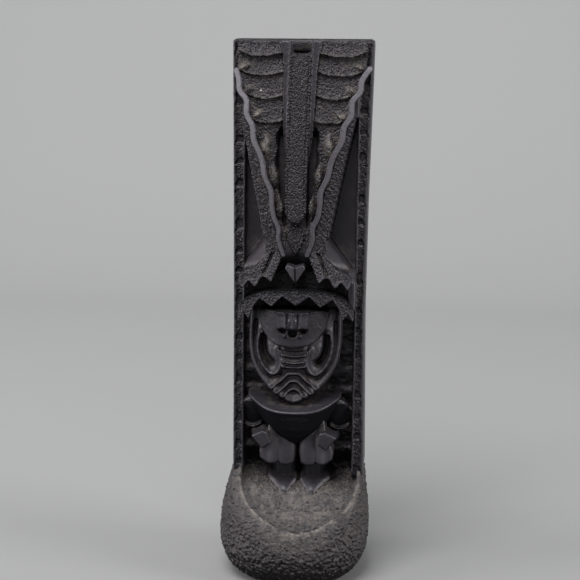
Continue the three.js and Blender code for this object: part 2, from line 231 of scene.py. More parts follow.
def casting_material(name, colour, roughness, gloss, grain_bump, speckle, dust):
    """Black resin loaded with lava grains: dusty where sheltered, matt and darkened with painted shade
    underneath, darkened with painted shade and paled with a painted highlight where marked, with a few pale
    chips.
    """
    material = bpy.data.materials.new("grained_" + name)
    material["slot"] = name
    material.use_nodes = True
    nodes, links = material.node_tree.nodes, material.node_tree.links
    shader = nodes["Principled BSDF"]
    place = nodes.new("ShaderNodeNewGeometry").outputs["Position"]

    def noise(scale, detail=3.0, rough=0.6):
        node = nodes.new("ShaderNodeTexNoise")
        node.inputs["Scale"].default_value = scale
        node.inputs["Detail"].default_value = detail
        node.inputs["Roughness"].default_value = rough
        links.new(place, node.inputs["Vector"])
        return node.outputs["Fac"]

    def ramp(value, *stops):
        node = nodes.new("ShaderNodeValToRGB")
        for element, (at, shade) in zip(node.color_ramp.elements, stops):
            element.position = at
            element.color = (*shade, 1) if isinstance(shade, tuple) else (shade, shade, shade, 1)
        links.new(value, node.inputs["Fac"])
        return node.outputs["Color"]

    def mix(share, a, b):
        node = nodes.new("ShaderNodeMix")
        node.data_type = "RGBA"
        for socket, value in (("Factor", share), ("A", a), ("B", b)):
            target = next(s for s in node.inputs if s.name == socket and s.enabled)
            if isinstance(value, bpy.types.NodeSocket):
                links.new(value, target)
            else:
                target.default_value = (*value, 1)
        return next(s for s in node.outputs if s.enabled)

    def times(a, b, operation="MULTIPLY"):
        node = nodes.new("ShaderNodeMath")
        node.operation = operation
        node.use_clamp = True
        for target, value in zip(node.inputs, (a, b)):
            if isinstance(value, bpy.types.NodeSocket):
                links.new(value, target)
            else:
                target.default_value = value
        return node.outputs[0]

    def attribute(which):
        node = nodes.new("ShaderNodeAttribute")
        node.attribute_name = which
        return node.outputs["Fac"]

    mottled = ramp(noise(90), (0.3, tuple(c * 0.75 for c in colour)), (0.75, tuple(c * 1.3 for c in colour)))
    grains = ramp(noise(1700, 1.5), (0.56, 0), (0.7, 1))
    speckled = mix(times(grains, speckle), mottled, PALE_GRAIN)
    worn_with_painted_light = mix(times(attribute("worn"), 0.2), speckled, WORN_EDGE)
    # A painted highlight: the marked faces are paled as if lit, not by handling.
    worn_with_painted_light = mix(times(attribute("painted_highlight"), 1.0), worn_with_painted_light, PAINTED_HIGHLIGHT)
    # Undersides are darkened here: painted shade, not a colour of the stone.
    worn_with_painted_light = mix(times(attribute("underside_matt_and_painted_shade"), 0.6), worn_with_painted_light, PAINTED_UNDERSIDE_SHADE)
    powder = times(times(attribute("shelter"), ramp(noise(380), (0.4, 0), (0.65, 1))), dust)
    dusty_with_painted_light = mix(powder, worn_with_painted_light, DUST)
    tan = times(attribute("tan"), ramp(noise(300, 4.0), (0.4, 0), (0.62, 1)))
    dusty_with_painted_light = mix(times(tan, 0.6), dusty_with_painted_light, TAN_DUST)
    # Negative marks darken the colour: painted shade in recesses and shadowed places.
    painted_shade_share = times(attribute("tan"), -1.0)
    dusty_with_painted_light = mix(painted_shade_share, dusty_with_painted_light, PAINTED_SHADE)
    chips = ramp(noise(330, 2.0), (0.785, 0), (0.8, 1))
    links.new(mix(chips, dusty_with_painted_light, CHIP), shader.inputs["Base Color"])
    rougher = times(times(noise(260), 0.2), roughness - 0.1, "ADD")
    rougher = times(times(rougher, times(powder, 0.3), "ADD"), times(attribute("underside_matt_and_painted_shade"), 0.3), "ADD")
    links.new(rougher, shader.inputs["Roughness"])
    polish = times(times(1.0, times(attribute("underside_matt_and_painted_shade"), 0.85), "SUBTRACT"), times(painted_shade_share, 0.8), "SUBTRACT")
    polish = times(polish, gloss)
    links.new(polish, shader.inputs["Specular IOR Level"])
    shader.inputs["Specular Tint"].default_value = (1, 0.94, 1, 1)
    bump = nodes.new("ShaderNodeBump")
    bump.inputs["Strength"].default_value = grain_bump
    bump.inputs["Distance"].default_value = 0.3 * MM
    links.new(noise(1600, 3.0, 0.6), bump.inputs["Height"])
    links.new(bump.outputs["Normal"], shader.inputs["Normal"])
    return material


SMOOTH = casting_material(
    "smooth_casting", (0.0165, 0.015, 0.0185),
    roughness=0.44, gloss=0.5, grain_bump=0.15, speckle=0.05, dust=0.25,
)
STIPPLED = casting_material(
    "stippled_casting", (0.009, 0.0082, 0.0103),
    roughness=0.36, gloss=0.36, grain_bump=1.0, speckle=0.15, dust=0.3,
)
ROUGH = casting_material(
    "rough_casting", (0.022, 0.0198, 0.0205),
    roughness=0.58, gloss=0.45, grain_bump=1.0, speckle=0.5, dust=0.35,
)

pieces = []
filled = {"low": np.array([-40.0, -40.0, -5.0]), "cell": 1.25, "cells": np.zeros((64, 64, 202), np.float32)}


def note_filled(block, field):
    """Marks the coarse cells that a solid fills, so that sheltered corners can be found later."""
    axes = zip((block.x, block.y, block.z), filled["low"])
    at = [((axis.ravel() - low) / filled["cell"]).astype(int) for axis, low in axes]
    inside = np.argwhere(field < 0)
    filled["cells"][tuple(a[i] for a, i in zip(at, inside.T))] = 1


def paint_vertices(mesh, name, values):
    values = np.ascontiguousarray(values, dtype=np.float32)
    mesh.attributes.new(name, "FLOAT", "POINT").data.foreach_set("value", values)


def cast(name, nodes, block, field, material, tan=None, painted_highlight=None):
    """Turns a field into a closed mesh piece that stands for CAD nodes.

    The first mark gives tan dust where positive and painted shade, a darkening, where negative; the second
    gives a painted highlight that pales the surface.
    """
    field = np.broadcast_to(field, block.shape)
    note_filled(block, field)
    grid = openvdb.FloatGrid(3.0)
    grid.copyFromArray(np.ascontiguousarray(np.clip(field / block.step, -3, 3), dtype=np.float32))
    points, quads = grid.convertToQuads(0.0)
    places = (block.low + points * block.step + ORIGIN) * MM
    mesh = bpy.data.meshes.new(name)
    mesh.vertices.add(len(points))
    mesh.vertices.foreach_set("co", places.astype(np.float32).ravel())
    mesh.loops.add(quads.size)
    mesh.loops.foreach_set("vertex_index", quads.astype(np.int32).ravel())
    mesh.polygons.add(len(quads))
    mesh.polygons.foreach_set("loop_start", np.arange(0, quads.size, 4, dtype=np.int32))
    mesh.update(calc_edges=True)
    mesh.validate()
    mesh.polygons.foreach_set("use_smooth", np.ones(len(mesh.polygons), bool))
    at = tuple(np.clip(points.round().astype(int), 0, np.array(block.shape) - 1).T)
    for which, marks in (("tan", tan), ("painted_highlight", painted_highlight)):
        if marks is not None:
            paint_vertices(mesh, which, np.broadcast_to(marks, block.shape)[at])
    mesh.materials.append(material)
    piece = bpy.data.objects.new(name, mesh)
    bpy.context.scene.collection.objects.link(piece)
    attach(piece, "root")
    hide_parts(*nodes)
    pieces.append(piece)
    return piece


def occupied(cells, place):
    at = ((place - filled["low"]) / filled["cell"] - 0.5).round().astype(int)
    return cells[tuple(np.clip(at, 0, np.array(cells.shape) - 1).T)]


def add_wear_dust_and_shade_masks():
    """Gives each vertex how sheltered it is, from the solid just in front of it, how worn, from its own edge,
    and how far it faces down, which the material turns into painted shade and a matt finish."""
    cells = filled["cells"]
    frequencies = np.meshgrid(*[np.fft.fftfreq(n, filled["cell"]) for n in cells.shape], indexing="ij")
    squares = sum(f * f for f in frequencies)
    spectrum = np.fft.fftn(cells)

    def blurred(radius):
        return np.real(np.fft.ifftn(spectrum * np.exp(-2 * (math.pi * radius) ** 2 * squares)))

    wide, near = blurred(2.2), blurred(1.0)
    for piece in pieces:
        mesh = piece.data
        place = np.empty(len(mesh.vertices) * 3, np.float32)
        normal = np.empty_like(place)
        mesh.vertices.foreach_get("co", place)
        mesh.vertex_normals.foreach_get("vector", normal)
        place, normal = place.reshape(-1, 3) / MM - ORIGIN, normal.reshape(-1, 3)
        shelter = ease(occupied(wide, place + 1.8 * normal), 0.25, 0.62) * ease(normal[:, 2], -0.6, 0.5)
        worn = ease(occupied(near, place - 0.9 * normal), 0.62, 0.42)
        # Facing down darkens the colour as painted shade and makes the surface matt.
        underside_matt_and_painted_shade = ease(normal[:, 2], -0.05, -0.4)
        for name, value in (("shelter", shelter), ("worn", worn), ("underside_matt_and_painted_shade", underside_matt_and_painted_shade)):
            paint_vertices(mesh, name, value)


# ---------------------------------------------------------------- base and post

def top_plane(x, y=POST_FRONT):
    return POST_TOP + TOP_SLOPE * x - TOP_FALL * (y - POST_FRONT)


def boulder():
    """The rough base, fuller on its left, with a ledge scooped out of its front."""
    block = Block(BASE_LOW - 1.6, (*(BASE_HIGH[:2] + 1.6), BASE_TOP + 3), 0.58, 11)
    x, y, z = block.x, block.y, block.z
    left = [(0, 25.0), (4, 30.2), (8, 33.0), (14, 35.2), (20, 35.7), (30, 34.8), (38, 33.2), (50, 29.9)]
    right = [(0, 22.0), (4, 26.6), (8, 29.4), (14, 31.3), (20, 31.8), (30, 31.3), (38, 30.4), (50, 29.3)]
    front = table([(0, 25), (4, 29.6), (8, 32.6), (14, 34.6), (18, 34.8), (50, 33)], z)
    back = table([(0, 16), (4, 19), (8, 21.4), (14, 23.4), (20, 24), (30, 23.6), (40, 21.6), (50, 18.6)], z)
    power = np.where(y < 0, 2.5, 4.0)
    aside = np.abs(x) / np.where(x < 0, table(left, z), table(right, z))
    ahead = np.abs(y) / np.where(y < 0, front, back)
    body = both(((aside**power + ahead**power) ** (1 / power) - 1) * 30, -z, 1.5)
    body = both(body, (z - table(SHOULDER, y)) * 0.7, 2.5)
    rim = [
        (24.9, 8), (26.0, -12), (25.4, -16.4), (22.6, -22.4), (18.5, -25.8), (13.2, -28.6), (7, -30.8),
        (0.1, -31.6),
    ]
    edge = outline(mirror(curve(rim)), x - 0.5, y)
    hollow = both(edge, (table(LEDGE, y) - z) * 0.65, 1.0)
    lip = 0.4 * np.exp(-(((edge - 0.7) / 0.8) ** 2)) * ease(z, 14, 20)
    body = without(body - lip, hollow, 0.4)
    calm = 1 - 0.85 * ease(np.abs(edge + 0.5), 2.4, 1.0) * ease(z, 14, 20)
    rough = 0.22 * block.grain(2.1) + 0.22 * block.grain(1.3) - 0.3 * np.maximum(block.grain(2.6) - 1.5, 0)
    body = body - calm * rough
    body = both(body, 0.4 - z, 0.3)
    floor = ease(edge, -1.8, -4.5) * ease(y, -29, -25) * ease(y, -6, -12)
    crest = np.exp(-(((edge - 0.6) / 0.8) ** 2)) + 0.3 * ease(edge, 8, 1) * ease(edge, -0.5, 0.5)
    cast("boulder_base", ["boulder_base"], block, body, ROUGH, 0.45 * floor + 0.8 * crest * ease(z, 14, 24))


def post():
    """The square post: its back and sides, the two edge strips' bodies and the stippled niche wall."""
    block = Block((-32.4, POST_FRONT - 1, 40), (31.4, POST_BACK + 1.2, POST_TOP + 3), 0.9, 12)
    x, y, z = block.x, block.y, block.z
    sides = both(-x - table(POST_SIDE[-1], z), x - table(POST_SIDE[1], z))
    body = both(both(sides, y - POST_BACK, 3.0), POST_FRONT + 0.9 - y, 2.0)
    body = both(body, both(z - top_plane(x, y), 46.5 - z), 2.0)
    step = ((z - 51) / 9.3) % 1.0
    wall = table([(44, 1.0), (50, 0.5), (58, -3), (90, -7), (126, -9), (142, -4), (240, -4)], z)
    wall = wall - 1.3 * ease(step, 0.0, 0.85) * ease(step, 1.0, 0.88) * ease(z, 48, 56)
    edges = both(-x - NICHE_EDGE[-1], x - NICHE_EDGE[1])
    niche = both(both(edges, y - wall, 0.8), z - POST_TOP + 6, 1.0)
    body = without(body, niche, 0.6)
    stippled = ease(y, 5, 1) * ease(edges, -0.2, -1.5) * ease(z, 140, 134)
    body = body - block.grain(1.5) * (0.03 + 0.24 * stippled)
    cast("post", ["back_slab"], block, body, STIPPLED)


def edge_strip(side, name):
    """The face of one edge strip: a smooth wavy outer edge, a stippled channel and a smooth inner edge."""
    reach = sorted((side * NICHE_EDGE[side], side * 31))
    low, high = (reach[0] - 1, POST_FRONT - 1.6, 41), (reach[1] + 1, POST_FRONT + 3, POST_TOP + 1)
    block = Block(low, high, 0.4, 13 + side)
    z, u = block.z, block.x * side
    inward = table(POST_SIDE[side], z) - u
    onward = u - NICHE_EDGE[side]
    drift = z / 12.6 + 0.25 * np.sin(z / 7.0 + 2 * side)
    wave = 1.15 + 0.4 * np.sin(2 * math.pi * drift) + 0.25 * np.sin(2 * math.pi * z / 4.3)
    channel = ease(inward, wave, wave + 0.5) * ease(onward, 0.6, 1.1)
    notch = channel * np.maximum(np.sin(2 * math.pi * (drift + 0.22)), 0) ** 4
    front = POST_FRONT - 0.3 + 0.6 * channel + 1.3 * notch + 0.5 * ease(inward, 1.0, 0.1)
    ends = both(z - top_plane(block.x) + 0.9, 49.2 - z)
    strip = relief(block, both(both(-inward + 0.3, -onward), ends), front, POST_FRONT + 2.2, 0.5)
    strip = strip - block.grain(1.0, (1, 1, 0.75)) * (0.02 + 0.2 * channel)
    cast(f"{name}_stile", [f"{name}_stile"], block, strip, STIPPLED)


# ---------------------------------------------------------------- headdress

def ground(z):
    """Front of the headdress's ground plane: it leans out from the post towards its foot."""
    return np.float32(POST_FRONT - LEAN * (POST_TOP - z))


def band_edge(z):
    return table([(z, u) for u, z in BAND_EDGE], z)


def ribbon_path(side):
    return [RIBBON_TOP[side], *RIBBON]


def ribbon_u(z, side):
    return table([(z, u) for u, z in ribbon_path(side)], z)


def headdress_core():
    """The hourglass ground, its smooth flaring facets over the brow and the two long triangular recesses."""
    block = Block((-26.2, -25, HEADDRESS_FOOT - 1), (25.4, 3, POST_TOP), 0.62, 20)
    x, z, u = block.x, block.z, block.u
    waist = (band_edge(z) - np.abs(u)) * 0.96
    flare = (table([(143, 24.6), (156, 14.6)], z) - np.abs(u)) * 0.75
    inside = np.where(z > 156, waist, np.where(z > 143, flare, 26 - np.abs(x)))
    inside = np.where(z > 209, 26 - np.abs(x), inside)
    recess = table([(126, -14), (143, -8), (156, -6), (209, -8), (214, -11)], z)
    facet = ease(z, 157.5, 155.5) * ease(z, 138.5, 141)
    slope = 6.5 * facet * np.clip(1 - (inside - 0.8) / 4.2, 0, 1)
    front = recess + (ground(z) + slope - recess) * ease(inside, 0, 0.8 + 0.8 * ease(z, 143, 141))
    scoop = np.maximum(0, 1 - (u / 5.2) ** 2) * ease(z, 234, 237) * 3.0
    gap = ease(np.abs(u), 4.2, 5.0) * ease(np.abs(u), 9.5, 8.0) * ease(z, 206, 200) * ease(z, 160, 166) * 4.2
    hidden = ease(z, 154 - 0.4 * np.abs(u), 140) * ease(np.abs(u), 23.5, 21.5)
    front = front + scoop + gap + 4.5 * hidden
    edge = both(both(both(-x - 25.2, x - 24.4), z - top_plane(x) + 0.9), HEADDRESS_FOOT - z)
    body = relief(block, edge, front, 1.5, 0.7)
    stippled = np.maximum(ease(np.abs(u), 7.0, 6.0) * ease(z, 168, 164) * ease(z, 150, 153), hidden)
    body = body - block.grain(1.1) * (0.015 + 0.2 * stippled)
    # Painted shade darkens the deep recess and the gaps beside the strip.
    cast("headdress", ["headdress_core"], block, body, SMOOTH, -0.75 * hidden - 0.3 * ease(gap, 0.5, 3))


def centre_band():
    """The stippled strip between two rows of beads, ending in a point, and the short neck below it."""
    block = Block((-8.6, -26, 149), (6, -10, POST_TOP - 2), 0.32, 21)
    z, u = block.z, block.u
    half = [(4.7, 236.4), (4.55, 168.5), (0.6, 162.6)]
    neck = [(4.2, 160.5), (4.0, 157.0), (0.4, 150.5)]
    edge = np.minimum(outline(mirror(half), u, z), outline(mirror([(0.6, 162.2), *neck]), u, z))
    row = np.exp(-(((np.abs(u) - 4.25) / 0.45) ** 2)) * ease(z, 166, 170)
    bead = row * (0.2 + 0.7 * np.maximum(0, np.cos(2 * math.pi * z / 1.3 + 1.2 * np.sin(z / 3.1))))
    front = ground(z) - 3.0 + 0.4 * ease(np.abs(u), 3.0, 3.8) * ease(np.abs(u), 4.2, 3.8) - bead
    front = front + 2.0 * ease(z, 166, 160)
    body = relief(block, edge, front, ground(z) + 3.0, 0.4)
    body = body - block.grain(0.95, (1, 1, 0.55)) * 0.2
    cast("centre_band", ["centre_band"], block, body, STIPPLED)


def flute(side, name):
    """A narrow channel beside the strip, between two thin rims."""
    reach = sorted((side * 3, side * 10))
    block = Block((reach[0] - 2.5, -22, 184), (reach[1] + 1, -10, POST_TOP), 0.32, 22)
    z, u = block.z, block.u * side
    outer = table([(240, 9.4), (236, 8.2), (228, 7.6), (206, 6.9), (185, 5.3)], z)
    edge = both(both(4.5 - u, u - outer), both(z - top_plane(side * u) + 0.9, 186 - z))
    share = np.clip((u - 4.6) / (outer - 4.6), 0, 1)
    front = ground(z) - 3.3 + 0.6 * np.sin(math.pi * share) ** 0.7 + 4.0 * ease(z, 212, 188)
    body = relief(block, edge, front, ground(z) + 1.2, 0.4) - block.grain(1.0) * 0.07
    cast(f"{name}_flute", [f"{name}_flute"], block, body, SMOOTH)


def feathers(side, name):
    """Overlapping tiers, each coming forward to a sagging lip with a bump at its end, and a row of lobes."""
    reach = sorted((side * 4, side * 29))
    block = Block((reach[0] - 2.5, -25, 152), (reach[1] + 1, -10, POST_TOP), 0.36, 24 + side)
    z, u = block.z, block.u * side
    inner = [(240, 9.0), (236, 7.9), (228, 7.3), (206, 6.7), (200, 8.8), (190, 8.4), (180, 6.8), (170, 5.4)]
    inner = table([*inner, (150, 3.2)], z)
    outer = np.minimum(ribbon_u(z, side) - 1.2, 27.6)
    share = np.clip((u - inner) / np.maximum(outer - inner, 1.0), 0, 1)
    drop = 1.6 * np.sin(math.pi * np.minimum(share * 0.95, 1.0)) - 0.9 * ease(share, 0.75, 1.0)
    level = z + drop
    proud = np.zeros(np.broadcast(z, u).shape, np.float32)
    tan = np.zeros_like(proud)
    lips = [TIER_LIPS[0] + 5.5, *TIER_LIPS]
    for high, low in zip(lips, lips[1:]):
        down = np.clip((high - level) / (high - low), 0, 1)
        tier = (level <= high) & (level > low)
        crest = 0.6 * np.exp(-(((level - low - 0.4) / 0.45) ** 2))
        proud = np.where(tier, (0.9 if high < 240 else 1.8) + 1.1 * down**1.6 + crest, proud)
        tan = np.maximum(tan, 0.35 * np.exp(-(((level - low - 0.4) / 0.9) ** 2)))
    chain = ease(z, TIER_LIPS[-1] - 0.2, TIER_LIPS[-1] - 2.0)
    proud = proud * (1 - chain) + 0.7 * chain
    bumps = [(float(ribbon_u(low + 2, side)) - 3.6, low + 2.2, 3.0, 1.9) for low in TIER_LIPS[1:]]
    bumps += [(float(ribbon_u(height, side)) - 3.6, height, 2.3, 5.2) for height in CHAIN]
    for at, height, wide, tall in bumps:
        tilt = 0.35 * (u - at)
        lump = np.exp(-((((u - at) / wide) ** 2 + ((z - height + tilt) / tall) ** 2) ** 1.2))
        proud = np.maximum(proud, 3.3 * lump)
        tan = np.maximum(tan, lump * (0.9 if height > 192 else 0.4))
    hem = 1.1 * chain * (1 + np.cos(2 * math.pi * (z - 190) / 12.5)) / 2
    edge = both(both(inner + hem - u, u - outer - 0.6), both(z - top_plane(side * u) + 1.0, 152.5 - z))
    body = relief(block, edge, ground(z) - proud, ground(z) + 2.8, 0.4)
    body = body - block.grain(0.95, (1, 1, 0.6)) * (0.19 + 0.04 * ease(proud, 1.0, 2.4))
    nodes = [f"{name}_crown_feather", *[f"{name}_feather_{i}" for i in range(1, 7)]]
    cast(f"{name}_feathers", nodes, block, body, STIPPLED, tan)


def ribbon(side, name):
    """A smooth zigzag ribbon: a steep inner side and a broad facet that slopes outwards."""
    reach = sorted((side * 3, side * 31))
    block = Block((reach[0] - 3, -27, 148), (reach[1], -11, 233), 0.38, 28 + side)
    z, u = block.z, block.u * side
    distance = track(curve(ribbon_path(side)), u, z)
    wide = table([(150, 0.95), (165, 1.15), (200, 1.35), (232, 1.25)], z)
    chord = table([(150.5, 5.2), (190, 14.6), (230, 27.0)], z)
    front = ground(z) - 3.6 + 0.6 * (u - chord)
    # A painted highlight pales the ribbon, more towards its top.
    painted_highlight_share = table([(150, 0.02), (180, 0.14), (200, 0.45), (225, 0.95)], z)
    painted_highlight_share = painted_highlight_share * ease(distance, wide + 0.3, wide - 0.5)
    past_post = both(block.x - table(POST_SIDE[1], z), -block.x - table(POST_SIDE[-1], z))
    edge = both(distance - wide, past_post + 0.2)
    body = relief(block, edge, front, ground(z) + 1.2, 0.35) - block.grain(2.2) * 0.012
    cast(f"{name}_ribbon", [f"{name}_ribbon"], block, body, SMOOTH, painted_highlight=painted_highlight_share)


def outer_band(side, name):
    """The band of slanting strokes between the ribbon and the recess."""
    reach = sorted((side * 7, side * 28))
    block = Block((reach[0] - 3, -25, 150), (reach[1] + 1, -13, 226), 0.38, 32 + side)
    z, u = block.z, block.u * side
    outer = band_edge(z) - table([(156, 1.6), (209, 0.8)], z)
    outer = np.where(z > 207, ribbon_u(z, side) + 2.6 * ease(z, 222, 207), outer)
    edge = both(both(ribbon_u(z, side) + 0.9 - u, u - outer), 151 - z)
    strokes = np.sin((u * side * 0.8 + z * 0.6) * 2 * math.pi / 2.1 + 1.8 * block.grain(5.0))
    body = relief(block, edge, ground(z) - 1.7, ground(z) + 1.2, 0.5)
    body = body - block.grain(1.0) * 0.16 - 0.12 * strokes
    cast(f"{name}_outer_band", [f"{name}_outer_band"], block, body, STIPPLED)


def brow(side, name):
    """Two stippled lobes that spread from the neck and hang over the face in points with a smooth hem."""
    reach = sorted((side * 4, side * 26))
    block = Block((reach[0] - 3, -30, 134), (reach[1] + 1, -13, 160), 0.38, 36 + side)
    z, u = block.z, block.u * side
    shape = [
        (7.2, 158.5), (12.2, 155.5), (11.8, 150.6), (17.6, 145.0), (22.8, 143.0), (24.6, 139.6),
        (22.8, 136.2), (20.2, 139.2), (17.2, 136.8), (14.2, 141.2), (10.4, 138.8), (8.4, 143.4), (5.6, 150.5),
    ]
    overhang = table([(136, 4.8), (142, 3.9), (150, 2.2), (158, 1.2)], z)
    split = track([(8.8, 153.0), (11.2, 148.0), (13.8, 142.2)], u, z)
    lobes = curve(shape[4:11], 3)
    hem = track(lobes, u, z)
    front = ground(z) - overhang + 1.7 * np.exp(-((split / 0.7) ** 2)) - 0.6 * np.exp(-((hem / 0.9) ** 2))
    body = relief(block, outline([*shape[:4], *lobes, *shape[11:]], u, z), front, ground(z) + 3.0, 0.6)
    body = body - block.grain(1.0) * 0.2 * ease(hem, 0.7, 1.5)
    cast(f"{name}_brow", [f"{name}_brow"], block, body, STIPPLED)


def brow_beak():
    """Two smooth facets that meet in a dark line and end in a point."""
    block = Block((-7.5, -29, 136), (4.5, -17, 151), 0.3, 40)
    z, u = block.z, block.u
    shape = [(0, 138.2), (4.5, 144.6), (3.6, 146.4), (0, 145.2), (-3.6, 146.4), (-4.5, 144.6)]
    front = ground(z) - 4.4 + 0.45 * np.abs(u) + 1.5 * np.exp(-((u / 0.4) ** 2)) - 0.12 * (z - 143)
    body = relief(block, outline(shape, u, z), front, ground(z) + 3, 0.3) - block.grain(1.6) * 0.02
    cast("brow_beak", ["brow_beak"], block, body, SMOOTH)


def tooth_band():
    """The lower brow: a stippled band over the nose that ends in sharp teeth."""
    block = Block((-27, -30.5, 121), (25, -14, 138.5), 0.38, 41)
    z, u = block.z, block.u - 0.4
    half = [
        (0.2, 135.5), (5, 135.4), (12, 135.0), (17, 133.9), (21.5, 131.6), (24.8, 128.0), (25.2, 121.4),
        (22.9, 125.4), (20.4, 122.6), (18.4, 128.2), (15.8, 131.7), (10.6, 128.4), (5.9, 133.0),
    ]
    shape = [*half, (0, 129.0), *[(-a, b) for a, b in reversed(half)]]
    crest = track([(0, 135.5), (12, 135.0), (17, 133.9), (21.5, 131.6), (25, 128)], np.abs(u), z)
    hem = track([*half[6:], (0, 129.0)], np.abs(u), z)
    front = ground(z) - 5.6 + 0.005 * u**2 - 0.3 * np.exp(-((hem / 0.6) ** 2))
    body = relief(block, outline(shape, u, z), front, -17.5, 0.35)
    body = body - block.grain(1.0) * 0.17 * ease(hem, 0.3, 1.1)
    # Painted shade darkens the band's top crest.
    cast("zigzag_band", ["zigzag_band"], block, body, STIPPLED, -0.9 * ease(crest, 1.4, 0.4))


# ---------------------------------------------------------------- face

def face():
    """The head with its lips: nested ridges round two sockets, bars between them and chevrons on the chin."""
    block = Block((-24, -28.5, 80.5), (21, 1, 130), 0.34, 50)
    z, u = block.z, block.u
    a = np.abs(u)
    shell = [
        (19.5, 131), (20.5, 120), (20.7, 110), (19.6, 101.4), (16.6, 95.2), (12.4, 90.0), (6.8, 85.4),
        (0.1, 82.8),
    ]
    front = -20.3 + 0.018 * u**2 + 0.0012 * (z - 104) ** 2 + 6 * ease(z, 125.5, 128)

    def ridge(points, width, height):
        return height * np.exp(-((track(curve(points), a, z) / width) ** 2))

    ring = [
        (19.4, 124), (19.7, 116), (19.2, 107), (17.2, 99.6), (13.4, 93.6), (8.2, 88.6), (4.0, 85.8),
        (0, 84.4),
    ]
    socket = [
        (14.4, 114.8), (16.2, 111), (16.0, 105.5), (14.0, 100.0), (10.4, 96.6), (7.2, 97.8), (5.8, 102),
        (6.6, 107.6),
    ]
    channel = [(17.6, 119), (17.8, 111), (16.8, 103.4), (14.0, 98.0), (10.0, 95.0), (6.0, 95.8)]
    outer, inner, groove = ridge(ring, 1.9, 2.8), ridge(socket, 1.35, 2.6), ridge(channel, 0.8, -1.7)
    crescent = ridge([(14.0, 113), (14.0, 108.4), (12.7, 103.8), (10.4, 101.2)], 1.3, -5.0)
    eye = 0.5 * np.exp(-(((a - 9.0) / 2.9) ** 2 + ((z - 106.4) / 4.6) ** 2) ** 2)
    bars = ((108, 1.1), (105.2, 1.6), (102.4, 2.2), (100, 1.3))
    bars = sum(proud * np.exp(-(((z - level - 0.03 * u**2) / 0.55) ** 2)) for level, proud in bars)
    bars = bars * ease(a, 5.8, 4.4)
    bridge = 1.8 * ease(a, 6.2, 4.0) * ease(z, 98.6, 100.5)
    chevrons = ridge([(0, 97.2), (2.6, 96.8), (5.8, 93.6), (9.8, 90.6)], 0.75, 2.2)
    chevrons = chevrons + ridge([(0, 93.8), (2.0, 93.2), (4.6, 90.4), (7.6, 88.6)], 0.75, 2.1)
    chevrons = chevrons + ridge([(0, 90.2), (1.8, 89.4), (4.2, 87.2)], 0.75, 1.8)
    front = front - (outer + inner + groove + crescent + eye + bars + bridge + chevrons)
    body = relief(block, outline(mirror(shell), u, z), front, 0.0, 0.9)
    beads = 0.08 * np.sin(z * 2 * math.pi / 3.0) * np.exp(-((track(curve(socket[:4]), a, z) / 1.0) ** 2))
    body = body - beads - block.grain(1.6) * 0.025
    nodes = ["head", "outer_lip", "left_inner_lip", "right_inner_lip", "lip_bridge", "chin"]
    # Painted shade darkens the face under the tooth band and the bottom of the chin.
    painted_face_shade = 0.8 * ease(z, 121.5, 126) + 0.5 * ease(z, 91, 86) * ease(a, 11, 6)
    cast("face", nodes, block, body, SMOOTH, -painted_face_shade)


def nose():
    """A smooth bowl under three flaring lobes, with nostrils where the lobes end."""
    block = Block((-18.5, -33, 107), (16, -14, 130), 0.32, 51)
    z, u = block.z, block.u + 0.6
    a = np.abs(u)
    bowl = mirror([(15.2, 126.6), (15.5, 123), (14.0, 117.0), (11.0, 113.0), (7.0, 110.6), (0.1, 109.5)])
    front = -27.0 + 0.03 * u**2 + 0.06 * np.maximum(0, 112.5 - z) ** 2
    front = front - 0.10 * np.maximum(0, z - 114)
    wide = table([(117, 6.0), (127, 7.4)], z)
    split = table([(117, 1.9), (127, 2.5)], z)
    lobe = ease(a, wide + 0.5, wide - 0.4) * ease(z, 117.8, 119.4)
    rims = np.exp(-(((a - split - 0.9) / 0.4) ** 2)) + np.exp(-(((a - wide + 0.5) / 0.45) ** 2))
    rims = rims + np.exp(-((a / 0.5) ** 2))
    groove = 1.5 * np.exp(-(((a - split) / 0.45) ** 2))
    front = front - lobe * (1.8 + 0.08 * (z - 117) + 0.55 * rims - groove)
    for centre, height, width, tall, deep in ((4.1, 117.6, 1.8, 1.25, 3.4), (0.0, 116.0, 1.8, 1.2, 3.0)):
        hole = ((a - centre) / width) ** 2 + ((z - height) / tall) ** 2
        front = front + deep * np.exp(-(hole**2))
    wing = track([(1.7, 123), (1.9, 118.6), (3.4, 115.0)], a, z)
    front = front - 1.2 * np.exp(-((wing / 0.4) ** 2))
    body = relief(block, outline(bowl, u, z), front, -17.5, 0.9) - block.grain(2.4) * 0.02
    # Painted shade darkens the bowl's sides and its top under the teeth, and a painted highlight pales the
    # lobes.
    shaded = -0.3 * (1 - lobe) * ease(z, 111, 115) - 0.8 * ease(z, 124.5, 126.6)
    cast("nose", ["nose"], block, body, SMOOTH, shaded, 0.25 * lobe * ease(z, 126, 123))


# ---------------------------------------------------------------- body

def torso():
    """A chest plate that slopes to a crisp rim, raised at its ends, over a belly that narrows downwards."""
    block = Block((-24.5, -30, 60), (21, 3, 97), 0.45, 60)
    y, z, u = block.y, block.z, block.u
    half = [(64.6, 2.5), (65.6, 6.4), (67.6, 9.6), (70, 12.2), (74, 15.0), (79.4, 17.7), (84.8, 20.3)]
    half = table([*half, (88, 20.8)], z)
    depth = table([(63, 17.5), (65, 20), (68, 22.4), (72, 24.4), (77, 26), (81, 27), (97, 27)], z)
    bowl = -depth + 12.5 * (np.abs(u) / half) ** 3.2
    body = both((np.abs(u) - half) * 0.75, (np.minimum(bowl, 0) - y) * 0.6, 0.8)
    plate = z - (81.0 + 0.22 * (y + 27) + 0.004 * u**2)
    body = both(body, plate * 0.92, 0.7)
    lip = 0.35 * np.exp(-(((plate + 0.6) / 0.7) ** 2))
    body = body - lip - block.grain(2.4) * 0.012
    # Painted shadow darkens the belly under the chest plate.
    cast("torso", ["torso"], block, body, SMOOTH, -0.5 * ease(plate, -1.2, -2.2))


